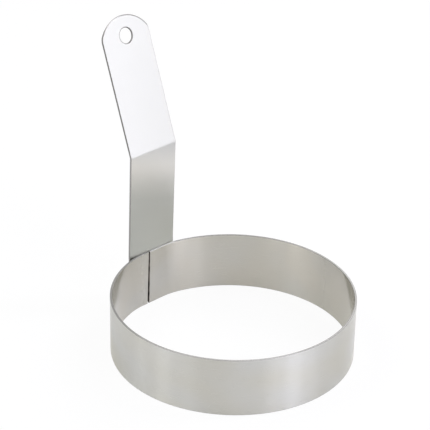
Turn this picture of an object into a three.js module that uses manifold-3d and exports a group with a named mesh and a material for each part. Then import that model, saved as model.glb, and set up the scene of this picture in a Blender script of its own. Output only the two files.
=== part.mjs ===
// Egg ring: a band of stainless strip rolled into a hoop, and a bent strip handle that is spot welded
// to the outside of the band, across the seam where the band's two ends meet.
//
// Millimetres, +Z up. The band stands on Z = 0 with its axis along Z, the handle stands at its +Y side,
// its grip leans away from the band, and the origin is the middle of the whole part's footprint.

import * as THREE from "three";
import { mergeVertices } from "three/addons/utils/BufferGeometryUtils.js";
import Module from "manifold-3d";

// Band
const BAND_DIAMETER = 101.6; // outside
const BAND_HEIGHT = 25.4;
const BAND_WALL = 0.9;
const BAND_SIDES = 180;

// The band's back, flattened so that the handle can be welded to it
const FLAT_WIDTH = 12.0;
const FLAT_DEPTH = 0.8; // inside the band's full circle
const FLAT_BLEND_SIDES = 12;

// Seam, where the band's two ends meet: an open slit, a little wider at its foot
const SEAM_OFFSET = 2.4; // from the handle's centreline, towards -X, at half the band's height
const SEAM_SLANT = 0.7; // its foot is this much further towards -X than its top
const SEAM_GAP_TOP = 0.5;
const SEAM_GAP_FOOT = 0.8;

// Handle: a flat strip, bent once, with a rounded end and a hole to hang it by
const HANDLE_WIDTH = 25.0;
const HANDLE_THICKNESS = 0.9;
const HANDLE_FOOT_HEIGHT = 0.4; // its lower end clears the griddle by this
const HANDLE_SEAT_GAP = 0.05; // to the band's flat
const SHANK_LEAN = THREE.MathUtils.degToRad(1.6); // over the band, from its upper rim to the bend
const SHANK_LEAN_RADIUS = 150; // of the gentle curve that the lean starts with
const BEND_HEIGHT = 73.5; // where the inner faces of the two straights would meet
const BEND_ANGLE = THREE.MathUtils.degToRad(20.1); // of the grip from upright, away from the band
const BEND_RADIUS = 1.6; // on the hollow side
const BEND_STEPS = 8;
const GRIP_LENGTH = 57.6; // from the bend to the tip, along the inner face
const TIP_RISE = 7.4; // of the tip's arc above the ends of the straight sides
const TIP_CORNER_RADIUS = 1.5; // where the arc meets the sides
const TIP_STEPS = 24;
const HOLE_DIAMETER = 7.2;
const HOLE_FROM_TIP = 8.5;
const HOLE_SIDES = 40;

// Spot welds: two rows of two, one column on each side of the seam
const WELD_DIAMETER = 3.8;
const WELD_FROM_SEAM = 3.8;
const WELD_FROM_RIMS = 6.0; // from the band's lower and upper rims
const WELD_DEPTH = 0.4; // that the fused metal reaches into each sheet
const WELD_FIT = 0.03; // all round, where the fused metal meets the sheets
const WELD_SIDES = 24;

const bandRadius = BAND_DIAMETER / 2;
const flatY = bandRadius - FLAT_DEPTH;
const handleInnerY = flatY + HANDLE_SEAT_GAP;
const shankLeanCorner = BAND_HEIGHT + SHANK_LEAN_RADIUS * Math.tan(SHANK_LEAN / 2);
const bendShift = (BEND_HEIGHT - shankLeanCorner) * Math.tan(SHANK_LEAN); // of the bend, over the band
const gripDirection = new THREE.Vector2(Math.sin(BEND_ANGLE), Math.cos(BEND_ANGLE)); // in Y and Z
const gripLean = GRIP_LENGTH * gripDirection.x + HANDLE_THICKNESS * gripDirection.y;
const handleEndY = handleInnerY - bendShift + gripLean;
const bandAxisY = (bandRadius - handleEndY) / 2; // the origin is halfway along the footprint

const wasm = await Module();
wasm.setup();

// A closed three.js geometry as a manifold-3d solid.
function solidOf(geometry) {
  const bare = geometry.clone();
  bare.deleteAttribute("normal");
  bare.deleteAttribute("uv");
  const merged = mergeVertices(bare, 1e-5);
  return new wasm.Manifold(
    new wasm.Mesh({
      numProp: 3,
      vertProperties: new Float32Array(merged.getAttribute("position").array),
      triVerts: new Uint32Array(merged.index.array),
    }),
  );
}

// A manifold-3d solid as a flat-shaded three.js geometry.
function geometryOf(solid) {
  const mesh = solid.getMesh();
  const shared = new THREE.BufferGeometry();
  shared.setAttribute("position", new THREE.BufferAttribute(mesh.vertProperties, mesh.numProp));
  shared.setIndex(new THREE.BufferAttribute(mesh.triVerts, 1));
  const geometry = shared.toNonIndexed();
  geometry.computeVertexNormals();
  return geometry;
}

// The band's outline from above, moved inwards by an inset: a circle with a flat at its back, and an arc
// at each end of the flat that runs smoothly into both.
function bandOutline(inset) {
  const half = FLAT_WIDTH / 2;
  const blendOffset = ((half * half) / FLAT_DEPTH + FLAT_DEPTH) / 2; // from the axis to the arc's centre
  const blendRadius = bandRadius - blendOffset;
  const blendY = flatY - blendRadius;
  const meet = Math.atan2(blendY, half);
  const arc = (x, y, radius, from, to, sides) =>
    new THREE.EllipseCurve(x, y, radius, radius, from, to).getPoints(sides);
  const turn = 2 * Math.PI;
  const round = arc(0, 0, bandRadius - inset, turn / 2 - meet, turn + meet, BAND_SIDES);
  const toLeft = arc(-half, blendY, blendRadius - inset, turn / 4, turn / 2 - meet, FLAT_BLEND_SIDES);
  const toRight = arc(half, blendY, blendRadius - inset, meet, turn / 4, FLAT_BLEND_SIDES);
  return new THREE.Shape([...toLeft, ...round.slice(1), ...toRight.slice(1)]);
}

// All that the band's outline goes round, from some way below the band to as far above it.
function bandPrism(inset, past) {
  const prism = new THREE.ExtrudeGeometry(bandOutline(inset), {
    depth: BAND_HEIGHT + 2 * past,
    bevelEnabled: false,
  });
  prism.translate(0, 0, -past);
  return solidOf(prism);
}

// Where the spot welds are, in the plane of the handle's lower part.
function weldPlaces() {
  const columns = [
    { side: "left", x: -SEAM_OFFSET - WELD_FROM_SEAM },
    { side: "right", x: -SEAM_OFFSET + WELD_FROM_SEAM },
  ];
  const rows = [
    { level: "lower", z: WELD_FROM_RIMS },
    { level: "upper", z: BAND_HEIGHT - WELD_FROM_RIMS },
  ];
  return columns.flatMap(({ side, x }) =>
    rows.map(({ level, z }) => ({ name: `spot_weld_${side}_${level}`, x, z })),
  );
}

// The round slug of fused metal at one weld, from inside the band's wall to inside the handle.
// With a fit larger than 0 it is the pocket that the slug lies in.
function weldSlug({ x, z }, fit) {
  const reach = handleInnerY + WELD_DEPTH + fit;
  const radius = WELD_DIAMETER / 2 + fit;
  const column = new THREE.CylinderGeometry(radius, radius, reach, WELD_SIDES);
  column.translate(x, reach / 2, z);
  return solidOf(column).subtract(bandPrism(WELD_DEPTH + fit, BAND_WALL));
}

// The metal on both sheets that the welds have fused.
function lessWelds(solid) {
  return weldPlaces().reduce((left, place) => left.subtract(weldSlug(place, WELD_FIT)), solid);
}

// The slit between the band's ends: a wedge from the middle of the band out through the flat, drawn from
// the front with its gap at each rim carried on past the rim.
function seamSlit() {
  const past = BAND_WALL;
  const outAt = (z, gap, side) => {
    const middle = SEAM_SLANT * (z / BAND_HEIGHT - 0.5);
    return new THREE.Vector2(middle + (side * gap) / 2, z);
  };
  const edge = (side) => {
    const foot = outAt(0, SEAM_GAP_FOOT, side);
    const top = outAt(BAND_HEIGHT, SEAM_GAP_TOP, side);
    const carry = past / BAND_HEIGHT;
    return [foot.clone().lerp(top, -carry), foot.clone().lerp(top, 1 + carry)];
  };
  const [leftFoot, leftTop] = edge(-1);
  const [rightFoot, rightTop] = edge(1);
  const front = new THREE.Shape([leftFoot, rightFoot, rightTop, leftTop]);
  const depth = bandRadius + past;
  const wedge = new THREE.ExtrudeGeometry(front, { depth, bevelEnabled: false });
  wedge.rotateX(Math.PI / 2); // up along Z, and back along -Y
  wedge.translate(-SEAM_OFFSET, depth, 0);
  return solidOf(wedge);
}

// The band: strip rolled to a hoop, cut through at the seam.
function band() {
  const hoop = bandPrism(0, 0).subtract(bandPrism(BAND_WALL, BAND_WALL));
  return lessWelds(hoop.subtract(seamSlit()));
}

// The handle's strip at full width, bent, with a square end that runs on past the tip. It is drawn from
// its side, with X away from the band's wall and Y up, and its inner face on X = 0 below the lean.
function bentStrip() {
  const innerRadius = BEND_RADIUS + HANDLE_THICKNESS; // of the inner face, which bulges at the bend
  const tangent = innerRadius * Math.tan((SHANK_LEAN + BEND_ANGLE) / 2);
  const shankDirection = new THREE.Vector2(-Math.sin(SHANK_LEAN), Math.cos(SHANK_LEAN));
  const shankNormal = new THREE.Vector2(shankDirection.y, -shankDirection.x);
  const centre = new THREE.Vector2(-bendShift, BEND_HEIGHT)
    .addScaledVector(shankDirection, -tangent)
    .addScaledVector(shankNormal, innerRadius);
  const bendStart = Math.PI + SHANK_LEAN;
  const bendEnd = Math.PI - BEND_ANGLE;
  const spoke = new THREE.Vector2(Math.cos(bendEnd), Math.sin(bendEnd));
  const straight = gripDirection.clone().multiplyScalar(GRIP_LENGTH);
  const innerEnd = centre.clone().addScaledVector(spoke, innerRadius).add(straight);
  const outerEnd = centre.clone().addScaledVector(spoke, BEND_RADIUS).add(straight);

  const side = new THREE.Shape();
  side.moveTo(0, HANDLE_FOOT_HEIGHT);
  side.absarc(-SHANK_LEAN_RADIUS, BAND_HEIGHT, SHANK_LEAN_RADIUS, 0, SHANK_LEAN, false);
  side.absarc(centre.x, centre.y, innerRadius, bendStart, bendEnd, true);
  side.lineTo(innerEnd.x, innerEnd.y);
  side.lineTo(outerEnd.x, outerEnd.y);
  side.absarc(centre.x, centre.y, BEND_RADIUS, bendEnd, bendStart, false);
  const leanOuterRadius = SHANK_LEAN_RADIUS + HANDLE_THICKNESS;
  side.absarc(-SHANK_LEAN_RADIUS, BAND_HEIGHT, leanOuterRadius, SHANK_LEAN, 0, true);
  side.lineTo(HANDLE_THICKNESS, HANDLE_FOOT_HEIGHT);
  side.closePath();
  const strip = new THREE.ExtrudeGeometry(side, {
    depth: HANDLE_WIDTH,
    bevelEnabled: false,
    curveSegments: BEND_STEPS,
  });
  strip.translate(0, 0, -HANDLE_WIDTH / 2);
  const xAlong = new THREE.Vector3(0, 1, 0);
  const yAlong = new THREE.Vector3(0, 0, 1);
  const zAlong = new THREE.Vector3(1, 0, 0);
  strip.applyMatrix4(new THREE.Matrix4().makeBasis(xAlong, yAlong, zAlong));
  return strip;
}

// Carries a cutter from the plane of the grip, with X across, Y up from the bend and Z through the
// sheet from its mid-thickness, to where the grip is.
function ontoGrip(cutter) {
  cutter.translate(0, 0, -HANDLE_THICKNESS / 2);
  cutter.rotateX(Math.PI / 2 - BEND_ANGLE);
  cutter.translate(0, -bendShift, BEND_HEIGHT);
  return solidOf(cutter);
}

// What is cut off the square end: all that lies beyond the tip's arc and its two rounded corners.
function tipWaste() {
  const half = HANDLE_WIDTH / 2;
  const arcRadius = (half ** 2 + TIP_RISE ** 2) / (2 * TIP_RISE);
  const arcY = GRIP_LENGTH - arcRadius;
  const cornerX = half - TIP_CORNER_RADIUS;
  const cornerY = arcY + Math.sqrt((arcRadius - TIP_CORNER_RADIUS) ** 2 - cornerX ** 2);
  const meet = Math.atan2(cornerY - arcY, cornerX);
  const outside = half + HANDLE_THICKNESS;
  const beyond = GRIP_LENGTH + HANDLE_WIDTH;
  const outline = new THREE.Shape();
  outline.moveTo(outside, cornerY);
  outline.lineTo(outside, beyond);
  outline.lineTo(-outside, beyond);
  outline.lineTo(-outside, cornerY);
  outline.absarc(-cornerX, cornerY, TIP_CORNER_RADIUS, Math.PI, Math.PI - meet, true);
  outline.absarc(0, arcY, arcRadius, Math.PI - meet, meet, true);
  outline.absarc(cornerX, cornerY, TIP_CORNER_RADIUS, meet, 0, true);
  outline.closePath();
  const depth = 3 * HANDLE_THICKNESS;
  const waste = new THREE.ExtrudeGeometry(outline, {
    depth,
    bevelEnabled: false,
    curveSegments: TIP_STEPS,
  });
  waste.translate(0, 0, -depth / 2);
  return ontoGrip(waste);
}

// The core of the hole that the part hangs by.
function holeCore() {
  const radius = HOLE_DIAMETER / 2;
  const core = new THREE.CylinderGeometry(radius, radius, 3 * HANDLE_THICKNESS, HOLE_SIDES);
  core.rotateX(Math.PI / 2);
  core.translate(0, GRIP_LENGTH - HOLE_FROM_TIP, 0);
  return ontoGrip(core);
}

// The handle, with its inner face against the band's flat.
function handle() {
  const solid = solidOf(bentStrip()).subtract(tipWaste()).subtract(holeCore());
  return lessWelds(solid.translate([0, handleInnerY, 0]));
}

const satinSteel = new THREE.MeshStandardMaterial({ color: 0xb9b7b0, roughness: 0.35, metalness: 1 });
const polishedSteel = new THREE.MeshStandardMaterial({ color: 0xc4c4c2, roughness: 0.12, metalness: 1 });
const fusedSteel = new THREE.MeshStandardMaterial({ color: 0x8f8c86, roughness: 0.55, metalness: 1 });

function piece(name, solid, material) {
  const mesh = new THREE.Mesh(geometryOf(solid), material);
  mesh.name = name;
  return mesh;
}

const eggRing = new THREE.Group();
eggRing.position.set(0, bandAxisY, 0);
eggRing.add(piece("ring_band", band(), satinSteel));
eggRing.add(piece("handle_strip", handle(), polishedSteel));
for (const place of weldPlaces()) {
  eggRing.add(piece(place.name, weldSlug(place, 0), fusedSteel));
}

export default eggRing;
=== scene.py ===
"""Egg ring: a low band of stainless strip rolled into a hoop, with a bent strip handle welded to its back.

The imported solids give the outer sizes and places, and the defaults below repeat their finer sizes. This
file makes the fine surfaces around them: the rolled band with its slit, the bent handle with its hole,
their deburred edges and brushed finish, and a pale studio to show them in. Metres, +Z up, in the frame of
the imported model.
"""

import math

import bmesh
import bpy
from bpy.props import FloatProperty, FloatVectorProperty, IntProperty, PointerProperty
from mathutils import Matrix, Vector


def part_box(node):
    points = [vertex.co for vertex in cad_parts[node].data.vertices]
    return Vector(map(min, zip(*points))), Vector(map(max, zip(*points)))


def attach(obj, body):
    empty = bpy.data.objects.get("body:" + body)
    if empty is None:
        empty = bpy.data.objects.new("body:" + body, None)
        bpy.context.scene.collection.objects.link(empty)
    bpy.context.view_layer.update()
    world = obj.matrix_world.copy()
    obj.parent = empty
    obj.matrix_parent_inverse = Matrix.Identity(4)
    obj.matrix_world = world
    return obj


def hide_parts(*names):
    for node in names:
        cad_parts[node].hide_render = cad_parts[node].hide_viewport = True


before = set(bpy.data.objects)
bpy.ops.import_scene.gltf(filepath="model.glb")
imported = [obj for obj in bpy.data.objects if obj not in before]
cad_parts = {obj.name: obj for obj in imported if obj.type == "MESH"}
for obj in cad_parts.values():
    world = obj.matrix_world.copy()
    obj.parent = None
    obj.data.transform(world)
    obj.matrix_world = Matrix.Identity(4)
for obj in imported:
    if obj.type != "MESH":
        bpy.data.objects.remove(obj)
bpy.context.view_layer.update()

bl_info = {
    "name": "Egg ring",
    "version": (1, 0, 0),
    "blender": (4, 5, 0),
    "location": "3D View > Sidebar > Egg Ring",
    "description": "Makes a round egg ring of brushed steel with an upright bent handle, and its studio",
    "category": "Add Mesh",
}

MM = 0.001
BODY = "root"

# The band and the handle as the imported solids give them
BAND_LOW, BAND_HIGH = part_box("ring_band")
HANDLE_LOW, HANDLE_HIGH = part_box("handle_strip")
BAND_RADIUS = (BAND_HIGH.x - BAND_LOW.x) / 2
BAND_HEIGHT = BAND_HIGH.z - BAND_LOW.z
BAND_AXIS = Vector((0, BAND_LOW.y + BAND_RADIUS, BAND_LOW.z))
HANDLE_HALF = (HANDLE_HIGH.x - HANDLE_LOW.x) / 2
WELD_NODES = [f"spot_weld_{side}_{level}" for side in ("left", "right") for level in ("lower", "upper")]

MERGE = 0.001 * MM  # corners nearer than this count as one
SLACK = 0.01 * MM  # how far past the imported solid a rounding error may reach
SQUARE_EDGE = math.radians(60)  # an edge that turns more than this was cut square
CUT_RIM = math.radians(40)  # an edge that turns more than this stays sharp where a piece was carved
IN_SHEET = 0.98  # cosine of the most that a face may turn away and still be the sheet's surface
UPRIGHT = 0.7  # the normal of an upright face rises less than this
WELD_STEPS = 40  # flat steps round a weld's pocket and its dent

BACK_GRAIN = 0.2  # where the back's stretch of the handle's grain map starts, in metres
CUT_STEEL = {"roughness": 0.42, "grain_size": 0.3 * MM}
# How much of a soft noise's range a change is spread over: most of it, or less for clearer edges
WIDE_SPAN = (0.25, 0.75)
SPAN = (0.3, 0.7)
CLEAR_SPAN = (0.35, 0.65)

# Softboxes round the egg ring. Of each row: its name, how high its boxes stand, how far from the band's
# axis, and their width and height. Of each box: degrees to the right of the camera, and brightness.
BOX_ROWS = (
    ("slim", 0.62, 0.95, 0.26, 0.55, (
        (-113, 1.6), (-83, 0.55), (-68, 0.5), (-53, 0.36), (38, 2.85), (53, 0.57), (68, 0.8), (83, 0.43),
        (98, 2.0))),
    ("wide", 0.62, 0.95, 0.50, 0.55, ((-135, 0.2), (15, 0.23), (135, 1.8), (165, 1.85))),
    ("low", 0.18, 1.00, 0.26, 0.36, (
        (-83, 1.0), (-60, 1.5), (-38, 0.75), (38, 0.9), (53, 3.7), (68, 1.7))),
    ("high", 1.05, 0.70, 0.80, 0.50, ((-90, 2.7), (30, 0.9))),
    ("high_slim", 1.05, 0.70, 0.20, 0.50, ((60, 0.86), (105, 5.7))),
)
COOL_BOXES = range(30, 120)  # degrees to the right of the camera
COOL_LIGHT = (0.955, 0.95, 1.09)
PLAIN_LIGHT = (1.0, 1.0, 1.0)
BOX_POWER = 4  # watts for each square metre of a softbox with a brightness of 1
AIM_HEIGHT = 30 * MM  # how far above the band's foot the softboxes are aimed
FLOOR_REACH = 4.0  # from the floor's middle to its sides, in metres

UP = Vector((0, 0, 1))

# How the panel shows a size, an angle and a colour
LENGTH = {"precision": 6, "unit": "LENGTH", "subtype": "DISTANCE"}
ANGLE = {"unit": "ROTATION", "subtype": "ANGLE"}
COLOUR = {"size": 3, "min": 0, "max": 1, "subtype": "COLOR"}


class EggRingSizes(bpy.types.PropertyGroup):
    sheet: FloatProperty(
        name="Sheet", description="Thickness of the band's and the handle's sheet",
        default=0.9 * MM, min=0.4 * MM, max=1.5 * MM, **LENGTH)
    edge_round: FloatProperty(
        name="Edge round", description="Radius that deburring leaves on the cut edges, except the hole's",
        default=0.18 * MM, min=0.02 * MM, max=0.3 * MM, **LENGTH)
    flat_width: FloatProperty(
        name="Flat width", description="Width of the flat at the band's back",
        default=12.0 * MM, min=2 * MM, max=30 * MM, **LENGTH)
    flat_depth: FloatProperty(
        name="Flat depth", description="How far the flat lies inside the band's full circle",
        default=0.8 * MM, min=0.05 * MM, max=3 * MM, **LENGTH)
    seat_gap: FloatProperty(
        name="Seat gap", description="Between the band's flat and the handle",
        default=0.05 * MM, min=0.01 * MM, max=0.2 * MM, **LENGTH)
    seam_offset: FloatProperty(
        name="Seam offset",
        description="From the handle's centreline to the middle of the slit, to the left",
        default=2.4 * MM, min=0.0, max=5 * MM, **LENGTH)
    seam_slant: FloatProperty(
        name="Seam slant", description="How much further left the slit's foot is than its top",
        default=0.7 * MM, min=0.0, max=2 * MM, **LENGTH)
    slit_top: FloatProperty(
        name="Slit at the top", description="Gap between the band's ends at the upper rim",
        default=0.5 * MM, min=0.1 * MM, max=3 * MM, **LENGTH)
    slit_foot: FloatProperty(
        name="Slit at the foot", description="Gap between the band's ends at the lower rim",
        default=0.8 * MM, min=0.1 * MM, max=3 * MM, **LENGTH)
    band_steps: IntProperty(
        name="Band steps", description="Flat steps round the band's full circle",
        default=600, min=90, max=1440)
    shank_lean: FloatProperty(
        name="Shank lean", description="How far the handle's lower part leans over the band",
        default=math.radians(1.6), min=0.0, max=math.radians(10), **ANGLE)
    shank_radius: FloatProperty(
        name="Shank radius", description="Radius of the gentle curve that this lean starts with",
        default=150 * MM, min=20 * MM, max=400 * MM, **LENGTH)
    shank_steps: IntProperty(
        name="Shank steps", description="Rows along that curve", default=6, min=1, max=40)
    bend_angle: FloatProperty(
        name="Bend", description="How far the grip leans back from upright",
        default=math.radians(20.1), min=0.0, max=math.radians(60), **ANGLE)
    bend_radius: FloatProperty(
        name="Bend radius", description="Radius of the bend on its hollow side",
        default=1.6 * MM, min=0.5 * MM, max=6 * MM, **LENGTH)
    bend_steps: IntProperty(
        name="Bend steps", description="Rows round the bend", default=10, min=3, max=40)
    tip_rise: FloatProperty(
        name="Tip rise", description="Height of the tip's arc above the ends of the straight sides",
        default=7.4 * MM, min=2 * MM, max=12 * MM, **LENGTH)
    tip_corner: FloatProperty(
        name="Tip corner", description="Radius where the tip's arc meets the sides",
        default=5.0 * MM, min=0.2 * MM, max=8 * MM, **LENGTH)
    hole: FloatProperty(
        name="Hole", description="Diameter of the hole that the ring hangs by, past the rounds of its edges",
        default=7.2 * MM, min=3 * MM, max=12 * MM, **LENGTH)
    hole_from_tip: FloatProperty(
        name="Hole from tip", description="From the tip to the hole's centre",
        default=8.5 * MM, min=5 * MM, max=20 * MM, **LENGTH)
    # Painted shade: a dark line painted beside the tip's arc, as the shadow of its edge.
    painted_shadow_line: FloatProperty(
        name="Shadow line", description="Width of the dark line beside the tip's arc, with its round",
        default=0.50 * MM, min=0.2 * MM, max=1 * MM, **LENGTH)
    hole_round: FloatProperty(
        name="Hole round", description="Radius of the wider round on both edges of the hole",
        default=0.38 * MM, min=0.1 * MM, max=0.44 * MM, **LENGTH)
    weld_fit: FloatProperty(
        name="Weld fit", description="All round, between the fused metal and the sheets",
        default=0.03 * MM, min=0.01 * MM, max=0.1 * MM, **LENGTH)
    dimple_width: FloatProperty(
        name="Weld dimple", description="Width of the dent that each weld leaves on the handle's back",
        default=4.2 * MM, min=1 * MM, max=6 * MM, **LENGTH)
    dimple_depth: FloatProperty(
        name="Dimple depth", description="Depth of that dent",
        default=0.12 * MM, min=0.02 * MM, max=0.3 * MM, **LENGTH)


class EggRingFinish(bpy.types.PropertyGroup):
    band_colour: FloatVectorProperty(
        name="Band", description="Colour of the band's satin steel",
        default=(0.553, 0.551, 0.523), **COLOUR)
    warm_colour: FloatVectorProperty(
        name="Warm cast", description="Colour of the faint warm patches on the band",
        default=(0.540, 0.527, 0.470), **COLOUR)
    inner_colour: FloatVectorProperty(
        name="Inside tint", description="Colour of the warm tint on the band's inner wall",
        default=(0.556, 0.535, 0.476), **COLOUR)
    handle_colour: FloatVectorProperty(
        name="Grip", description="Colour of the handle's polished steel above its bend",
        default=(0.600, 0.600, 0.581), **COLOUR)
    # Painted light down the handle's shank: the next three colours paint a pale highlight under the bend,
    # and shade that darkens towards the welded foot.
    bend_highlight_colour: FloatVectorProperty(
        name="Under the bend", description="Colour of the handle just under its bend, where it is painted palest",
        default=(0.747, 0.735, 0.690), **COLOUR)
    shank_shade_colour: FloatVectorProperty(
        name="Shank", description="Colour of the handle's upright part, where shade is painted on it",
        default=(0.605, 0.617, 0.584), **COLOUR)
    foot_shade_colour: FloatVectorProperty(
        name="Foot", description="Colour of the handle near its welds, where shade is painted darkest",
        default=(0.535, 0.545, 0.500), **COLOUR)
    handle_edge_colour: FloatVectorProperty(
        name="Handle's edge", description="Colour of the handle's cut edges and of the hole's rounds",
        default=(0.180, 0.176, 0.168), **COLOUR)
    edge_colour: FloatVectorProperty(
        name="Band's edge",
        description="Colour of the band's cut and deburred edges, and of the welds' darker mottle",
        default=(0.230, 0.225, 0.215), **COLOUR)
    # Painted highlight on the band's rims, lightest at the front and to the right of the slit.
    rim_highlight_colour: FloatVectorProperty(
        name="Edge highlight", description="Colour of the band's rims where a highlight is painted on them",
        default=(0.400, 0.395, 0.385), **COLOUR)
    lighter_edge_colour: FloatVectorProperty(
        name="Lighter edge", description="Colour of the handle's cut edge where it is lighter",
        default=(0.500, 0.490, 0.480), **COLOUR)
    # Painted shade: this dark colour stands in for the shade in the slit, behind it and along the tip's arc.
    painted_shade_colour: FloatVectorProperty(
        name="Crevice",
        description="Colour of the stained steel in the slit and behind it, and of the tip's painted shadow line",
        default=(0.060, 0.056, 0.050), **COLOUR)
    weld_colour: FloatVectorProperty(
        name="Weld",
        description="Colour of the fused metal at the spot welds, and of the lighter mottle in the slit",
        default=(0.300, 0.270, 0.235), **COLOUR)
    band_roughness: FloatProperty(
        name="Band roughness", description="Roughness of the band's satin finish",
        default=0.30, min=0.05, max=0.8)
    handle_roughness: FloatProperty(
        name="Handle roughness", description="Roughness of the handle's polish",
        default=0.38, min=0.02, max=0.8)


class EggRingStudio(bpy.types.PropertyGroup):
    azimuth: FloatProperty(
        name="Azimuth", description="Where the camera stands: 0 looks along +Y",
        default=math.radians(-44.53), **ANGLE)
    elevation: FloatProperty(
        name="Elevation", description="How far above level the camera stands",
        default=math.radians(28.29), **ANGLE)
    roll: FloatProperty(
        name="Roll", description="Turn of the camera about its own line of sight",
        default=math.radians(1.095), **ANGLE)
    distance: FloatProperty(
        name="Distance", description="From the band's axis to the camera, along its line of sight",
        default=750.95 * MM, min=0.1, max=5.0, **LENGTH)
    shift_right: FloatProperty(
        name="Move right", description="How far right of the band's axis the camera is aimed",
        default=-8.2 * MM, **LENGTH)
    shift_up: FloatProperty(
        name="Move up", description="How far above the band's foot the camera is aimed",
        default=54.61 * MM, **LENGTH)
    lens: FloatProperty(
        name="Lens", description="Focal length on a 36 mm sensor, in millimetres",
        default=150.27, min=20, max=400)
    floor_colour: FloatVectorProperty(
        name="Floor", description="Colour of the floor",
        default=(0.93, 0.93, 0.925), **COLOUR)
    sky_level: FloatProperty(
        name="Room light", description="Strength of the even light from all round",
        default=0.28, min=0.0, max=2.0)
    box_level: FloatProperty(
        name="Softboxes", description="Brightness of all the softboxes, against their own levels",
        default=1.0, min=0.0, max=5.0)
    shadow_keep: FloatProperty(
        name="Shadow", description="How much of its own shading the floor keeps in the camera's view",
        default=0.10, min=0.0, max=1.0)
    shadow_keep_gloss: FloatProperty(
        name="Shadow in steel", description="How much of its own shading the floor keeps in reflections",
        default=0.75, min=0.0, max=1.0)


def settings():
    """The sizes, finish and studio that the panel shows."""
    scene = bpy.context.scene
    return scene.egg_ring_sizes, scene.egg_ring_finish, scene.egg_ring_studio


# Shader helpers


def add_node(tree, kind, inputs=None, **properties):
    """A new node, with its inputs given in a dict and its properties by name."""
    node = tree.nodes.new(kind)
    for name, value in properties.items():
        setattr(node, name, value)
    for name, value in (inputs or {}).items():
        fill(tree, node.inputs[name], value)
    return node


def fill(tree, socket, value):
    """Links an output to the socket, or writes the value on it."""
    if isinstance(value, bpy.types.NodeSocket):
        tree.links.new(value, socket)
    else:
        socket.default_value = value


def new_material(name):
    material = bpy.data.materials.new(name)
    material.use_nodes = True
    material.node_tree.nodes.clear()
    return material, material.node_tree


def scaled(tree, source, scale):
    """A coordinate stretched by a scale along each of its axes."""
    return add_node(tree, "ShaderNodeMapping", inputs={"Vector": source, "Scale": scale}).outputs[0]


def noise(tree, vector, detail=2.0, roughness=0.5):
    """Soft noise, one unit of the vector to a blotch."""
    node = add_node(
        tree, "ShaderNodeTexNoise",
        inputs={"Vector": vector, "Scale": 1.0, "Detail": detail, "Roughness": roughness})
    return node.outputs["Fac"]


def spread(tree, value, low, high, to_low=0.0, to_high=1.0):
    """Maps the stretch from low to high onto the one from to_low to to_high, and clamps."""
    node = add_node(
        tree, "ShaderNodeMapRange",
        inputs={"Value": value, "From Min": low, "From Max": high, "To Min": to_low, "To Max": to_high})
    return node.outputs[0]


def math_node(tree, operation, *values):
    node = add_node(tree, "ShaderNodeMath", operation=operation)
    for socket, value in zip(node.inputs, values):
        fill(tree, socket, value)
    return node.outputs[0]


def times(tree, first, second):
    return math_node(tree, "MULTIPLY", first, second)


def vector_math(tree, operation, first, second=(0, 0, 0)):
    node = add_node(tree, "ShaderNodeVectorMath", operation=operation, inputs={0: first, 1: second})
    return next(socket for socket in node.outputs if socket.enabled)


def split(tree, vector):
    """The three numbers of a vector."""
    return add_node(tree, "ShaderNodeSeparateXYZ", inputs={"Vector": vector}).outputs


def mix_colours(tree, factor, first, second, blend="MIX"):
    node = add_node(tree, "ShaderNodeMix", data_type="RGBA", blend_type=blend)
    fill(tree, node.inputs["Factor"], factor)
    colour_inputs = [s for s in node.inputs if s.type == "RGBA"]
    for socket, value in zip(colour_inputs, (first, second)):
        fill(tree, socket, value if isinstance(value, bpy.types.NodeSocket) else (*value, 1.0))
    return next(s for s in node.outputs if s.type == "RGBA")


def brushed_steel(name, tint, roughness, anisotropy, grain, stain_and_shade=None, gloss=None):
    """Rolled sheet, with fine lines along the grain map's first axis.

    The grain map holds metres, and tint makes the colour from it. grain says how long and how wide a
    line is, how far the lines move the roughness, how deep they are and how much darker they get.
    stain, if given, adds a colour and the share of it, made from the grain map: a warm tint on the band,
    and painted shade on the handle. gloss, if given, makes how much less rough each place is.
    """
    material, tree = new_material(name)
    grain_map = add_node(tree, "ShaderNodeUVMap", uv_map="grain").outputs[0]
    line_scale = (1 / grain["length"], 1 / grain["width"], 1)
    lines = noise(tree, scaled(tree, grain_map, line_scale), detail=3.0, roughness=0.6)
    shade = spread(tree, lines, *SPAN, 1.0 - grain["contrast"], 1.0)
    base = mix_colours(tree, 1.0, tint(tree, grain_map), shade_colour(tree, shade), blend="MULTIPLY")
    if stain_and_shade:
        stain_and_shade_colour, stain_and_shade_share = stain_and_shade
        base = mix_colours(tree, stain_and_shade_share(tree, grain_map), base, stain_and_shade_colour)
    swing = grain["swing"]
    rough = spread(tree, lines, *WIDE_SPAN, roughness - swing, roughness + swing)
    if gloss:
        rough = math_node(tree, "SUBTRACT", rough, gloss(tree))
    bump = add_node(
        tree, "ShaderNodeBump",
        inputs={"Strength": grain["depth"], "Distance": 0.02 * MM, "Height": lines})
    tangent = add_node(tree, "ShaderNodeTangent", direction_type="UV_MAP", uv_map="grain")
    shader = add_node(
        tree, "ShaderNodeBsdfPrincipled",
        inputs={
            "Base Color": base, "Metallic": 1.0, "Roughness": rough, "Anisotropic": anisotropy,
            "Anisotropic Rotation": 0.25, "Tangent": tangent.outputs[0], "Normal": bump.outputs[0],
        })
    add_node(tree, "ShaderNodeOutputMaterial", inputs={"Surface": shader.outputs[0]})
    return material


def shade_colour(tree, shade):
    """A grey of that shade."""
    return add_node(
        tree, "ShaderNodeCombineColor", inputs={"Red": shade, "Green": shade, "Blue": shade}).outputs[0]


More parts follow.
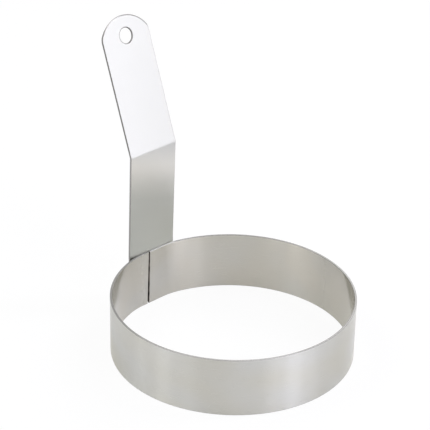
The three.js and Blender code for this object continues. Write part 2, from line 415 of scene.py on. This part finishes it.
def rough_steel(name, colour, second, roughness, grain_size, second_share=None):
    """Sheared, deburred or fused steel, with no grain of its own.

    second_share, if given, makes the share of the second colour from the place. Without it the two
    colours are mottled.
    """
    material, tree = new_material(name)
    place = add_node(tree, "ShaderNodeTexCoord").outputs["Object"]
    fine = noise(tree, scaled(tree, place, (1 / grain_size,) * 3), detail=3.0)
    if second_share:
        share = second_share(tree, place)
    else:
        blotch = 12.5 * grain_size
        broad = noise(tree, scaled(tree, place, (1 / blotch,) * 3), detail=1.0)
        mottle = math_node(tree, "ADD", broad, math_node(tree, "MULTIPLY_ADD", fine, 0.5, -0.25))
        share = spread(tree, mottle, *CLEAR_SPAN)
    swing = 0.08
    rough = spread(tree, fine, *SPAN, roughness - swing, roughness + swing)
    bump = add_node(
        tree, "ShaderNodeBump", inputs={"Strength": 0.25, "Distance": 0.03 * MM, "Height": fine})
    shader = add_node(
        tree, "ShaderNodeBsdfPrincipled",
        inputs={
            "Base Color": mix_colours(tree, share, colour, second), "Metallic": 1.0, "Roughness": rough,
            "Normal": bump.outputs[0],
        })
    add_node(tree, "ShaderNodeOutputMaterial", inputs={"Surface": shader.outputs[0]})
    return material


def painted_shade_behind_slit(tree, grain_map):
    """The share of painted shade on the handle: full behind the band's slit."""
    sizes, _, _ = settings()
    along, across, _ = split(tree, grain_map)
    rim_fade = (BAND_HEIGHT - 1.5 * MM, BAND_HEIGHT - 0.5 * MM)
    side_fade = (1.4 * MM, 2.6 * MM)
    below_rim = spread(tree, along, *rim_fade, 1.0, 0.0)
    from_slit = math_node(tree, "ABSOLUTE", math_node(tree, "ADD", across, sizes.seam_offset))
    near_slit = spread(tree, from_slit, *side_fade, 1.0, 0.0)
    return times(tree, below_rim, near_slit)


def painted_rim_highlight(tree, place):
    """The share of painted highlight on the band's cut edges: most at the front left and right of the slit.
    """
    front_share, plain_share = 0.5, 0.1
    front_fade = (-70 * MM, -58 * MM)  # of a place's x and its y from the axis, added up
    seat_middle = 5 * MM
    seat_fade = (6 * MM, 8 * MM)  # to the left and right of that middle
    back_fade = (40 * MM, 45 * MM)  # behind the band's axis
    x, y, _ = split(tree, place)
    from_axis = math_node(tree, "SUBTRACT", y, BAND_AXIS.y)
    at_front = spread(tree, math_node(tree, "ADD", x, from_axis), *front_fade, front_share, plain_share)
    from_seat = math_node(tree, "ABSOLUTE", math_node(tree, "SUBTRACT", x, seat_middle))
    at_seat = times(
        tree, spread(tree, from_seat, *seat_fade, 1.0, 0.0), spread(tree, from_axis, *back_fade))
    return math_node(tree, "MAXIMUM", at_front, at_seat)


def lighter_edge_share(tree, place):
    """The share of the lighter colour on the handle's cut edges: some on the shank, most on the tip's left.
    """
    shank_share = 0.4
    shank_fade = (50 * MM, 56 * MM)  # below the top, as the next one
    arc_fade = (3.6 * MM, 4.4 * MM)
    corner_fade = (-11.5 * MM, -6.5 * MM)  # along x, as the next one
    top_fade = (-4.5 * MM, 0.0)
    x, _, z = split(tree, place)
    from_top = math_node(tree, "SUBTRACT", HANDLE_HIGH.z, z)
    on_arc = spread(tree, from_top, *arc_fade, 1.0, 0.0)
    right_of_corner = spread(tree, x, *corner_fade)
    left_of_top = spread(tree, x, *top_fade, 1.0, 0.0)
    at_tip = times(tree, on_arc, times(tree, right_of_corner, left_of_top))
    on_shank = spread(tree, from_top, *shank_fade, 0.0, shank_share)
    return math_node(tree, "MAXIMUM", at_tip, on_shank)


# Mesh helpers


def sheet_to_plate(bm, thickness):
    """Gives a bare sheet its thickness, on the side that its normals point away from."""
    bmesh.ops.solidify(bm, geom=bm.faces[:], thickness=thickness)
    bmesh.ops.remove_doubles(bm, verts=bm.verts[:], dist=MERGE)
    bmesh.ops.recalc_face_normals(bm, faces=bm.faces[:])


def deburr(bm, radius, wide=None, wide_radius=None):
    """Rounds every square edge, and those that the test wide picks by a radius of their own.

    The shading is smooth, and breaks only where a round meets the faces beside it.
    """
    square = [e for e in bm.edges if e.calc_face_angle() > SQUARE_EDGE]
    chosen = [e for e in square if wide and wide(e)]
    rest = [e for e in square if e not in chosen]
    rounds = set()
    for edges, offset in ((chosen, wide_radius), (rest, radius)):
        if edges:
            made = bmesh.ops.bevel(
                bm, geom=edges, offset=offset, offset_type="OFFSET", segments=3, profile=0.5,
                affect="EDGES", material=-1, clamp_overlap=True)
            rounds.update(made["faces"])
    for face in bm.faces:
        face.smooth = True
    for edge in bm.edges:
        edge.smooth = len({face in rounds for face in edge.link_faces}) == 1


def set_grain(bm, place):
    """Writes the grain map: how far along and across the sheet each corner lies, in metres."""
    layer = bm.loops.layers.uv.new("grain")
    for face in bm.faces:
        for loop in face.loops:
            loop[layer].uv = place(loop.vert.co)


def mark_cut_edges(bm, sheet_normal):
    """Gives the second material to each face that doesn't lie in the sheet's own surface."""
    for face in bm.faces:
        along_sheet = abs(face.normal.dot(sheet_normal(face.calc_center_median())))
        face.material_index = 0 if along_sheet > IN_SHEET else 1


def sweep(bm, vert, centre, axis, angle, steps):
    """Draws an arc on from a corner, and returns the arc's last corner."""
    made = bmesh.ops.spin(
        bm, geom=[vert], cent=centre, axis=axis, angle=angle, steps=steps, use_duplicate=False)
    return next(g for g in made["geom_last"] if isinstance(g, bmesh.types.BMVert))


def straight(bm, vert, place):
    """Draws a straight line on from a corner, and returns its far corner."""
    end = bm.verts.new(place)
    bm.edges.new((vert, end))
    return end


def new_object(bm, name, materials=()):
    """The bmesh as an object at the origin."""
    mesh = bpy.data.meshes.new(name)
    bm.to_mesh(mesh)
    bm.free()
    for material in materials:
        mesh.materials.append(material)
    made = bpy.data.objects.new(name, mesh)
    bpy.context.scene.collection.objects.link(made)
    return made


def carve(piece, cutter_bm):
    """Cuts closed shapes out of a piece, and leaves the rims of the cuts sharp."""
    cutter = new_object(cutter_bm, piece.name + "_cutter")
    cut = piece.modifiers.new("cut", "BOOLEAN")
    cut.operation = "DIFFERENCE"
    cut.solver = "EXACT"
    cut.object = cutter
    with bpy.context.temp_override(object=piece, active_object=piece):
        bpy.ops.object.modifier_apply(modifier=cut.name)
    bpy.data.objects.remove(cutter)
    bm = bmesh.new()
    bm.from_mesh(piece.data)
    if any(len(e.link_faces) != 2 for e in bm.edges):
        raise RuntimeError(f"{piece.name} isn't closed after its cut")
    for edge in bm.edges:
        if edge.calc_face_angle() > CUT_RIM:
            edge.smooth = False
    bm.to_mesh(piece.data)
    bm.free()


def weld_pockets(fit):
    """The room that the four welds take up in both sheets."""
    bm = bmesh.new()
    for node in WELD_NODES:
        low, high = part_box(node)
        radius = (high.x - low.x) / 2 + fit
        made = bmesh.ops.create_cone(
            bm, cap_ends=True, cap_tris=True, segments=WELD_STEPS, radius1=radius, radius2=radius,
            depth=high.y - low.y + 2 * fit)
        bmesh.ops.rotate(bm, verts=made["verts"], matrix=Matrix.Rotation(math.radians(90), 3, "X"))
        bmesh.ops.translate(bm, verts=made["verts"], vec=(low + high) / 2)
    bmesh.ops.recalc_face_normals(bm, faces=bm.faces[:])
    return bm


def weld_dimples(back, width, depth):
    """Shallow lenses to press into the handle's back, one behind each weld."""
    ball_radius = ((width / 2) ** 2 + depth ** 2) / (2 * depth)
    past_rim = 1.3  # how far round the lens goes, against the dent's rim
    reach = past_rim * math.asin(width / 2 / ball_radius)
    bm = bmesh.new()
    for node in WELD_NODES:
        low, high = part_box(node)
        pole = Vector(((low.x + high.x) / 2, back - depth, (low.z + high.z) / 2))
        ball_centre = pole + Vector((0, ball_radius, 0))
        bmesh.ops.spin(
            bm, geom=[bm.verts.new(pole)], cent=ball_centre, axis=(1, 0, 0), angle=reach, steps=8,
            use_duplicate=False)
        arc = [e for e in bm.edges if e.is_wire]
        ends = [v for v in bm.verts if v.is_wire]
        bmesh.ops.spin(
            bm, geom=ends + arc, cent=pole, axis=(0, 1, 0), angle=2 * math.pi, steps=WELD_STEPS,
            use_merge=True, use_duplicate=False)
    bmesh.ops.remove_doubles(bm, verts=bm.verts[:], dist=MERGE)
    bmesh.ops.holes_fill(bm, edges=[e for e in bm.edges if e.is_boundary], sides=0)
    bmesh.ops.recalc_face_normals(bm, faces=bm.faces[:])
    return bm


# Pieces


class EGGRING_OT_band(bpy.types.Operator):
    """Rolls the band, with its flat, its slit, its deburred rims and its satin finish"""

    bl_idname = "egg_ring.band"
    bl_label = "Band"

    def execute(self, context):
        sizes, finish, _ = settings()
        half = sizes.flat_width / 2
        blend_offset = (half ** 2 / sizes.flat_depth + sizes.flat_depth) / 2
        blend_radius = BAND_RADIUS - blend_offset
        blend_centre = Vector((half, BAND_HIGH.y - blend_radius, BAND_LOW.z))
        meet = math.atan2(blend_centre.y - BAND_AXIS.y, half)
        seam = math.radians(90) + math.asin(sizes.seam_offset / BAND_RADIUS)

        bm = bmesh.new()
        self.draw_outline(bm, sizes, blend_centre, math.radians(90) - meet)
        made = bmesh.ops.extrude_edge_only(bm, edges=bm.edges[:])
        raised = [g for g in made["geom"] if isinstance(g, bmesh.types.BMVert)]
        bmesh.ops.translate(bm, verts=raised, vec=BAND_HEIGHT * UP)
        self.open_slit(bm, sizes)
        bmesh.ops.recalc_face_normals(bm, faces=bm.faces[:])
        sheet_to_plate(bm, sizes.sheet)
        if max((v.co - BAND_AXIS).xy.length for v in bm.verts) > BAND_RADIUS + SLACK:
            raise RuntimeError("the band's wall grew outwards, past the packed solid")
        deburr(bm, sizes.edge_round)

        def turn_from_seam(point):
            offset = point - BAND_AXIS
            return (math.atan2(offset.y, offset.x) - seam) % (2 * math.pi)

        def inset(point):
            """How far inside the band's outer face a point lies."""
            side = Vector((abs(point.x), point.y, BAND_LOW.z))
            if side.x < half and side.y > blend_centre.y:
                return BAND_HIGH.y - side.y
            if math.atan2(side.y - BAND_AXIS.y, side.x) > meet:
                return blend_radius - (side - blend_centre).length
            return BAND_RADIUS - (side - BAND_AXIS).length

        set_grain(bm, lambda point: (turn_from_seam(point) * BAND_RADIUS, point.z - inset(point)))
        mark_cut_edges(bm, lambda point: (point - BAND_AXIS).xy.normalized().to_3d())
        # The slit's upright end faces take the third material, dark with painted shade.
        slit_reach = (sizes.slit_foot + sizes.seam_slant) / 2 + sizes.edge_round
        for face in bm.faces:
            middle = face.calc_center_median()
            beside_slit = middle.y > BAND_AXIS.y and abs(middle.x + sizes.seam_offset) < slit_reach
            if beside_slit and face.material_index == 1 and abs(face.normal.z) < UPRIGHT:
                face.material_index = 2
        satin = brushed_steel(
            "satin_steel", self.warm_patches, finish.band_roughness, anisotropy=0.96,
            grain={"length": 9 * MM, "width": 0.16 * MM, "swing": 0.04, "depth": 0.08, "contrast": 0.03},
            stain_and_shade=(finish.inner_colour, self.warm_inside), gloss=self.burnished)
        # The band's cut edges, with a painted highlight on their rims.
        edge = rough_steel(
            "cut_edge_band", finish.edge_colour, finish.rim_highlight_colour, second_share=painted_rim_highlight, **CUT_STEEL)
        # Painted shade on the slit's end faces, with a lighter mottle.
        darkened = rough_steel(
            "slit_end", finish.painted_shade_colour, finish.weld_colour, roughness=0.65, grain_size=0.3 * MM)
        piece = new_object(bm, "band", [satin, edge, darkened])
        carve(piece, weld_pockets(sizes.weld_fit))
        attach(piece, BODY)
        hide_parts("ring_band")
        return {"FINISHED"}

    def draw_outline(self, bm, sizes, right_centre, blend_turn):
        """The band's outer line along its foot, clockwise from the slit's right side to its left."""
        step = 2 * math.pi / sizes.band_steps
        gap = (sizes.slit_top + sizes.slit_foot) / 2
        left_centre = Vector((-right_centre.x, right_centre.y, right_centre.z))
        blend_steps = math.ceil(blend_turn / step)
        end = bm.verts.new((gap / 2 - sizes.seam_offset, BAND_HIGH.y, BAND_LOW.z))
        end = straight(bm, end, (right_centre.x, BAND_HIGH.y, BAND_LOW.z))
        end = sweep(bm, end, right_centre, UP, -blend_turn, blend_steps)
        around = 2 * math.pi - 2 * blend_turn
        end = sweep(bm, end, BAND_AXIS, UP, -around, math.ceil(around / step))
        end = sweep(bm, end, left_centre, UP, -blend_turn, blend_steps)
        straight(bm, end, (-gap / 2 - sizes.seam_offset, BAND_HIGH.y, BAND_LOW.z))

    def warm_patches(self, tree, grain_map):
        """The band's colour: satin steel with faint warm patches, longer along the strip than across."""
        _, finish, _ = settings()
        patch_length, patch_width, patch_span = 32 * MM, 20 * MM, (0.38, 0.66)
        patches = noise(tree, scaled(tree, grain_map, (1 / patch_length, 1 / patch_width, 1)), detail=1.0)
        share = spread(tree, patches, *patch_span)
        return mix_colours(tree, share, finish.band_colour, finish.warm_colour)

    def wall_place(self, tree):
        """Where a place lies from the band's axis, and 1 if it is on the inner wall or behind the handle."""
        sizes, _, _ = settings()
        place = add_node(tree, "ShaderNodeTexCoord").outputs["Object"]
        from_axis = vector_math(tree, "SUBTRACT", place, BAND_AXIS)
        reach = vector_math(tree, "LENGTH", vector_math(tree, "MULTIPLY", from_axis, (1, 1, 0)))
        return from_axis, math_node(tree, "LESS_THAN", reach, BAND_RADIUS - sizes.sheet / 2)

    def burnished(self, tree):
        """How much less rough the inner wall is, at its front right and its back left."""
        less_rough = 0.13
        end_fade = (0.74 * BAND_RADIUS, 0.88 * BAND_RADIUS)
        from_axis, inside = self.wall_place(tree)
        diagonal = Vector((1, -1, 0)).normalized()
        along = vector_math(tree, "DOT_PRODUCT", from_axis, diagonal)
        near_end = spread(tree, math_node(tree, "ABSOLUTE", along), *end_fade, 0.0, less_rough)
        return times(tree, near_end, inside)

    def warm_inside(self, tree, grain_map):
        """The share of warm tint on the inner wall, which cooking leaves there in broad patches."""
        patch, least = 22 * MM, 0.4
        from_axis, inside = self.wall_place(tree)
        patches = noise(tree, scaled(tree, from_axis, (1 / patch,) * 3), detail=1.0)
        return times(tree, inside, spread(tree, patches, *CLEAR_SPAN, least, 1.0))

    def open_slit(self, bm, sizes):
        """Moves the four corners at the slit to the gap and the slant that it has there."""
        for corner in [v for v in bm.verts if len(v.link_edges) == 2]:
            side = 1 if corner.co.x > -sizes.seam_offset else -1
            at_foot = corner.co.z < BAND_HEIGHT / 2
            gap = sizes.slit_foot if at_foot else sizes.slit_top
            slant = -sizes.seam_slant / 2 if at_foot else sizes.seam_slant / 2
            corner.co.x = slant - sizes.seam_offset + side * gap / 2


def tip_arc_radius(sizes):
    """The radius of the arc that ends the handle, from its rise over the handle's width."""
    return (HANDLE_HALF ** 2 + sizes.tip_rise ** 2) / (2 * sizes.tip_rise)


class EGGRING_OT_handle(bpy.types.Operator):
    """Cuts the handle's strip with its round tip and hole, bends it and dents its back at the welds"""

    bl_idname = "egg_ring.handle"
    bl_label = "Handle"

    def execute(self, context):
        sizes, finish, _ = settings()
        face = BAND_HIGH.y + sizes.seat_gap
        shank_slope = math.tan(sizes.shank_lean)
        shank_reach = sizes.shank_radius * math.tan(sizes.shank_lean / 2)
        shank_corner = BAND_HEIGHT + shank_reach
        grip_way = Vector((0, math.sin(sizes.bend_angle), math.cos(sizes.bend_angle)))
        grip_length = (
            HANDLE_HIGH.y - face - sizes.sheet * grip_way.z + (HANDLE_HIGH.z - shank_corner) * shank_slope
        ) / (grip_way.y + grip_way.z * shank_slope)
        bend_height = HANDLE_HIGH.z - grip_length * grip_way.z
        bend_turn = sizes.bend_angle + sizes.shank_lean
        bend_radius = sizes.bend_radius + sizes.sheet
        bend_reach = bend_radius * math.tan(bend_turn / 2)
        shank_length = (bend_height - shank_corner) / math.cos(sizes.shank_lean) - shank_reach - bend_reach

        # Each stretch of the strip from the foot up: its length, its rows and how far it turns back
        margin = 0.4 * MM
        stretches = (
            (BAND_HEIGHT - HANDLE_LOW.z - margin, 1, 0),
            (margin, 1, 0),
            (sizes.shank_radius * sizes.shank_lean, sizes.shank_steps, -sizes.shank_lean),
            (margin, 1, 0),
            (shank_length - 2 * margin, 1, 0),
            (margin, 1, 0),
            (bend_radius * bend_turn, sizes.bend_steps, bend_turn),
            (margin, 1, 0),
        )
        bend_top = HANDLE_LOW.z + sum(length for length, _, _ in stretches)
        tip = bend_top - margin + grip_length - bend_reach
        bm = bmesh.new()
        self.draw_grip(bm, sizes, face, bend_top, tip)
        for length, rows, _ in reversed(stretches):
            self.drop_rows(bm, length, rows)
        bmesh.ops.recalc_face_normals(bm, faces=bm.faces[:])
        if bm.faces[:][0].normal.y > 0:
            bmesh.ops.reverse_faces(bm, faces=bm.faces[:])
        sheet_to_plate(bm, sizes.sheet)
        half_through = face + sizes.sheet / 2
        hole_centre = Vector((0, half_through, tip - sizes.hole_from_tip))

        def at_hole(edge):
            return ((edge.verts[0].co + edge.verts[1].co) / 2 - hole_centre).length < sizes.hole / 2

        deburr(bm, sizes.edge_round, at_hole, sizes.hole_round)
        set_grain(bm, lambda point: (point.z + (BACK_GRAIN if point.y > half_through else 0), point.x))
        mark_cut_edges(bm, lambda point: Vector((0, 1, 0)))
        top = bend_top
        for length, rows, turn in reversed(stretches):
            top -= length
            if turn:
                self.bend(bm, face, top, length, rows, turn)

        # Painted shade behind the slit and in the dark line beside the tip's arc.
        def painted_shade_marks(tree, grain_map):
            line = self.painted_shadow_line(tree, sizes, grain_map, tip)
            return math_node(tree, "MAXIMUM", painted_shade_behind_slit(tree, grain_map), line)

        # The handle's colour, with a painted highlight and painted shade down its shank.
        def tint(tree, grain_map):
            return self.strip_painted_light(tree, finish, grain_map, bend_top - margin - bend_radius * bend_turn)

        polished = brushed_steel(
            "polished_steel", tint, finish.handle_roughness, anisotropy=0.0,
            grain={"length": 14 * MM, "width": 0.2 * MM, "swing": 0.02, "depth": 0.04, "contrast": 0.02},
            stain_and_shade=(finish.painted_shade_colour, painted_shade_marks))
        edge = rough_steel(
            "cut_edge_handle", finish.handle_edge_colour, finish.lighter_edge_colour, second_share=lighter_edge_share,
            **CUT_STEEL)
        piece = new_object(bm, "handle", [polished, edge])
        carve(piece, weld_pockets(sizes.weld_fit))
        carve(piece, weld_dimples(face + sizes.sheet, sizes.dimple_width, sizes.dimple_depth))
        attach(piece, BODY)
        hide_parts("handle_strip")
        return {"FINISHED"}

    def draw_grip(self, bm, sizes, face, low, tip):
        """The grip's outline with its hole, still upright, as one flat face on each side of its middle."""
        arc_radius = tip_arc_radius(sizes)
        arc_centre = Vector((0, face, tip - arc_radius))
        corner_x = HANDLE_HALF - sizes.tip_corner
        corner_rise = math.sqrt((arc_radius - sizes.tip_corner) ** 2 - corner_x ** 2)
        corner_centre = arc_centre + Vector((corner_x, 0, corner_rise))
        meet = math.atan2(corner_rise, corner_x)
        hole_centre = Vector((0, face, tip - sizes.hole_from_tip))
        hole_radius = sizes.hole / 2 - sizes.hole_round
        forward = Vector((0, -1, 0))
        corner_steps, arc_steps, hole_steps = 6, 28, 36

        side_low = bm.verts.new((HANDLE_HALF, face, low))
        end = straight(bm, side_low, (HANDLE_HALF, face, corner_centre.z))
        end = sweep(bm, end, corner_centre, forward, meet, corner_steps)
        end = sweep(bm, end, arc_centre, forward, math.radians(90) - meet, arc_steps)
        end = straight(bm, end, hole_centre + hole_radius * UP)
        end = sweep(bm, end, hole_centre, forward, -math.radians(180), hole_steps)
        end = straight(bm, end, (0, face, low))
        bm.edges.new((end, side_low))
        bmesh.ops.contextual_create(bm, geom=bm.edges[:])
        bmesh.ops.mirror(bm, geom=bm.verts[:] + bm.edges[:] + bm.faces[:], axis="X")
        bmesh.ops.remove_doubles(bm, verts=bm.verts[:], dist=MERGE)

    def strip_painted_light(self, tree, finish, grain_map, bend_start):
        """The strip's colour, with painted light: darker down the shank to the welded foot as painted shade,
        pale below the bend as a painted highlight, its sides painted lighter and darker, and even above.
        """
        slant = 0.3  # how much higher a place counts, for each metre that it lies to the right
        ramp_ends = (28 * MM, 76 * MM)
        ramp_stops = (
            (0.40, finish.shank_shade_colour), (0.46, finish.shank_shade_colour), (0.75, finish.bend_highlight_colour),
            (0.80, finish.bend_highlight_colour))
        # Painted light: one side of the shank is painted lighter and the other darker, and the two change
        # over higher up.
        left_gain, right_gain = -0.06, 0.10  # how much lighter each side of the shank is near its foot
        turn_fade, turned = (42 * MM, 58 * MM), -0.8  # where the two sides change over, and by how much
        bend_fade = (bend_start - 0.5 * MM, bend_start + 1.0 * MM)
        along, across, _ = split(tree, grain_map)
        slanted = math_node(tree, "MULTIPLY_ADD", across, slant, along)
        height = spread(tree, slanted, *ramp_ends)
        ramp = add_node(tree, "ShaderNodeValToRGB", inputs={"Fac": height})
        stops = ramp.color_ramp.elements
        stops[0].color = (*finish.foot_shade_colour, 1)
        stops[1].color = (*finish.handle_colour, 1)
        for position, colour in ramp_stops:
            stops.new(position).color = (*colour, 1)
        to_right = spread(tree, across, -HANDLE_HALF, HANDLE_HALF, left_gain, right_gain)
        turn = spread(tree, slanted, *turn_fade, 1.0, turned)
        side = math_node(tree, "MULTIPLY_ADD", to_right, turn, 1.0)
        tinted = mix_colours(tree, 1.0, ramp.outputs["Color"], shade_colour(tree, side), blend="MULTIPLY")
        above = spread(tree, along, *bend_fade)
        return mix_colours(tree, above, tinted, finish.handle_colour)

    def painted_shadow_line(self, tree, sizes, grain_map, tip):
        """The share of painted shade in the fine shadow line beside the tip's arc, on its right."""
        darkest, edge_fade, top_fade = 0.7, 0.12 * MM, (-3 * MM, 3 * MM)
        arc_radius = tip_arc_radius(sizes)
        arc_edge = arc_radius - sizes.painted_shadow_line
        reach = vector_math(tree, "DISTANCE", grain_map, (tip - arc_radius, 0, 0))
        at_arc = spread(tree, reach, arc_edge, arc_edge + edge_fade, 0.0, darkest)
        along, across, _ = split(tree, grain_map)
        half_rise = sizes.tip_rise / 2
        in_tip = math_node(tree, "COMPARE", along, tip - half_rise, half_rise)
        at_right = times(tree, in_tip, spread(tree, across, *top_fade))
        return times(tree, at_arc, at_right)

    def drop_rows(self, bm, length, rows):
        """Carries the strip's lower edge down, in some rows."""
        for _ in range(rows):
            lowest = min(v.co.z for v in bm.verts) + MERGE
            sill = [e for e in bm.edges if all(v.co.z < lowest for v in e.verts)]
            made = bmesh.ops.extrude_edge_only(bm, edges=sill)
            fresh = [g for g in made["geom"] if isinstance(g, bmesh.types.BMVert)]
            bmesh.ops.translate(bm, verts=fresh, vec=-length / rows * UP)

    def bend(self, bm, face, low, length, rows, turn):
        """Turns back all that stands above each row of a stretch, and half as much the row itself."""
        for row in reversed(range(rows + 1)):
            level = low + length * row / rows
            share = 0.5 if row in (0, rows) else 1.0
            half_turn = Matrix.Rotation(-turn * share / rows / 2, 3, "X")
            from_row = [v for v in bm.verts if v.co.z > level - MERGE]
            past_row = [v for v in bm.verts if v.co.z > level + MERGE]
            for verts in (from_row, past_row):
                bmesh.ops.rotate(bm, verts=verts, cent=(0, face, level), matrix=half_turn)


class EGGRING_OT_welds(bpy.types.Operator):
    """Gives the four spot welds the look of fused steel"""

    bl_idname = "egg_ring.welds"
    bl_label = "Spot welds"

    def execute(self, context):
        _, finish, _ = settings()
        fused = rough_steel(
            "fused_steel", finish.weld_colour, finish.edge_colour, roughness=0.5, grain_size=0.25 * MM)
        for node in WELD_NODES:
            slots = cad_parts[node].data.materials
            if len(slots):
                slots[0] = fused
            else:
                slots.append(fused)
        return {"FINISHED"}


# Studio


def studio_point(studio, azimuth, height, distance):
    """A place round the band, that many degrees to the camera's right from where the camera stands."""
    turn = studio.azimuth - math.radians(90) + math.radians(azimuth)
    return BAND_AXIS + distance * Vector((math.cos(turn), math.sin(turn), 0)) + height * UP


def softbox(name, place, width, height, level, colour):
    """A soft lamp aimed at the egg ring, seen by the steel and not by the camera."""
    lamp = bpy.data.lights.new(name, "AREA")
    lamp.shape = "RECTANGLE"
    lamp.size = width
    lamp.size_y = height
    lamp.energy = level * BOX_POWER * width * height
    lamp.color = colour
    made = bpy.data.objects.new(name, lamp)
    made.location = place
    aim = BAND_AXIS + AIM_HEIGHT * UP - place
    made.rotation_euler = aim.to_track_quat("-Z", "Y").to_euler()
    made.visible_camera = False
    bpy.context.scene.collection.objects.link(made)


def seen_share(tree, by_camera, in_gloss):
    """How much of the plain white each kind of ray is shown."""
    path = add_node(tree, "ShaderNodeLightPath").outputs
    camera = times(tree, path["Is Camera Ray"], by_camera)
    gloss = times(tree, path["Is Glossy Ray"], in_gloss)
    through = times(tree, path["Is Transmission Ray"], by_camera)
    return math_node(tree, "MAXIMUM", camera, math_node(tree, "MAXIMUM", gloss, through))


def floor_material(studio):
    """Pale and matt, and lifted towards white where it is looked at, so that it keeps a faint shadow."""
    material, tree = new_material("pale_floor")
    matt = add_node(tree, "ShaderNodeBsdfDiffuse", inputs={"Color": (*studio.floor_colour, 1)})
    white = add_node(tree, "ShaderNodeEmission", inputs={"Color": (1, 1, 1, 1), "Strength": 1.0})
    share = seen_share(tree, 1 - studio.shadow_keep, 1 - studio.shadow_keep_gloss)
    mixed = add_node(
        tree, "ShaderNodeMixShader", inputs={"Fac": share, 1: matt.outputs[0], 2: white.outputs[0]})
    add_node(tree, "ShaderNodeOutputMaterial", inputs={"Surface": mixed.outputs[0]})
    return material


def light_room(studio):
    """An even pale room, white where it is seen."""
    world = bpy.data.worlds.new("room")
    world.use_nodes = True
    tree = world.node_tree
    tree.nodes.clear()
    light, white = (
        add_node(tree, "ShaderNodeBackground", inputs={"Color": (1, 1, 1, 1), "Strength": strength})
        for strength in (studio.sky_level, 1.0))
    mixed = add_node(
        tree, "ShaderNodeMixShader",
        inputs={"Fac": seen_share(tree, 1.0, 1.0), 1: light.outputs[0], 2: white.outputs[0]})
    add_node(tree, "ShaderNodeOutputWorld", inputs={"Surface": mixed.outputs[0]})
    bpy.context.scene.world = world


def place_camera(studio):
    """Sets up the camera, aimed as the studio's values say."""
    turn, rise = studio.azimuth, studio.elevation
    back = Vector((math.sin(turn) * math.cos(rise), -math.cos(turn) * math.cos(rise), math.sin(rise)))
    right = Vector((math.cos(turn), math.sin(turn), 0))
    up = back.cross(right)
    place = BAND_AXIS + studio.distance * back + studio.shift_right * right + studio.shift_up * up
    lens = bpy.data.cameras.new("camera")
    lens.sensor_width = 36
    lens.lens = studio.lens
    lens.clip_start = 0.01
    camera = bpy.data.objects.new("camera", lens)
    cos_roll, sin_roll = math.cos(studio.roll), math.sin(studio.roll)
    view_right = cos_roll * right + sin_roll * up
    view_up = cos_roll * up - sin_roll * right
    pose = Matrix((view_right, view_up, back)).transposed().to_4x4()
    pose.translation = place
    camera.matrix_world = pose
    bpy.context.scene.collection.objects.link(camera)
    bpy.context.scene.camera = camera


class EGGRING_OT_stage(bpy.types.Operator):
    """Sets up the floor, the lamps, the room and the camera"""

    bl_idname = "egg_ring.stage"
    bl_label = "Studio"

    def execute(self, context):
        _, _, studio = settings()
        context.scene.view_settings.view_transform = "Standard"
        bm = bmesh.new()
        bmesh.ops.create_grid(bm, x_segments=1, y_segments=1, size=FLOOR_REACH)
        floor = new_object(bm, "floor", [floor_material(studio)])
        light_room(studio)
        for row, stand, distance, width, height, boxes in BOX_ROWS:
            for azimuth, level in boxes:
                softbox(
                    f"{row}_box_{azimuth:+04d}", studio_point(studio, azimuth, stand, distance),
                    width, height, level * studio.box_level,
                    COOL_LIGHT if azimuth in COOL_BOXES else PLAIN_LIGHT)
        place_camera(studio)
        return {"FINISHED"}


class EGGRING_PT_panel(bpy.types.Panel):
    """The egg ring's sizes, finish and studio, and a button for each part"""

    bl_idname = "EGGRING_PT_panel"
    bl_label = "Egg Ring"
    bl_space_type = "VIEW_3D"
    bl_region_type = "UI"
    bl_category = "Egg Ring"

    def draw(self, context):
        for title, group in zip(("Sizes", "Finish", "Studio"), settings()):
            box = self.layout.box()
            box.label(text=title)
            for name in group.bl_rna.properties.keys():
                if name not in ("rna_type", "name"):
                    box.prop(group, name)
        for operator in OPERATORS:
            self.layout.operator(operator.bl_idname)


OPERATORS = (EGGRING_OT_band, EGGRING_OT_handle, EGGRING_OT_welds, EGGRING_OT_stage)
CLASSES = (EggRingSizes, EggRingFinish, EggRingStudio, *OPERATORS, EGGRING_PT_panel)


def register():
    for cls in CLASSES:
        bpy.utils.register_class(cls)
    bpy.types.Scene.egg_ring_sizes = PointerProperty(type=EggRingSizes)
    bpy.types.Scene.egg_ring_finish = PointerProperty(type=EggRingFinish)
    bpy.types.Scene.egg_ring_studio = PointerProperty(type=EggRingStudio)


def unregister():
    del bpy.types.Scene.egg_ring_studio
    del bpy.types.Scene.egg_ring_finish
    del bpy.types.Scene.egg_ring_sizes
    for cls in reversed(CLASSES):
        bpy.utils.unregister_class(cls)


def main():
    register()
    bpy.ops.egg_ring.band()
    bpy.ops.egg_ring.handle()
    bpy.ops.egg_ring.welds()
    bpy.ops.egg_ring.stage()


if __name__ == "__main__":
    main()
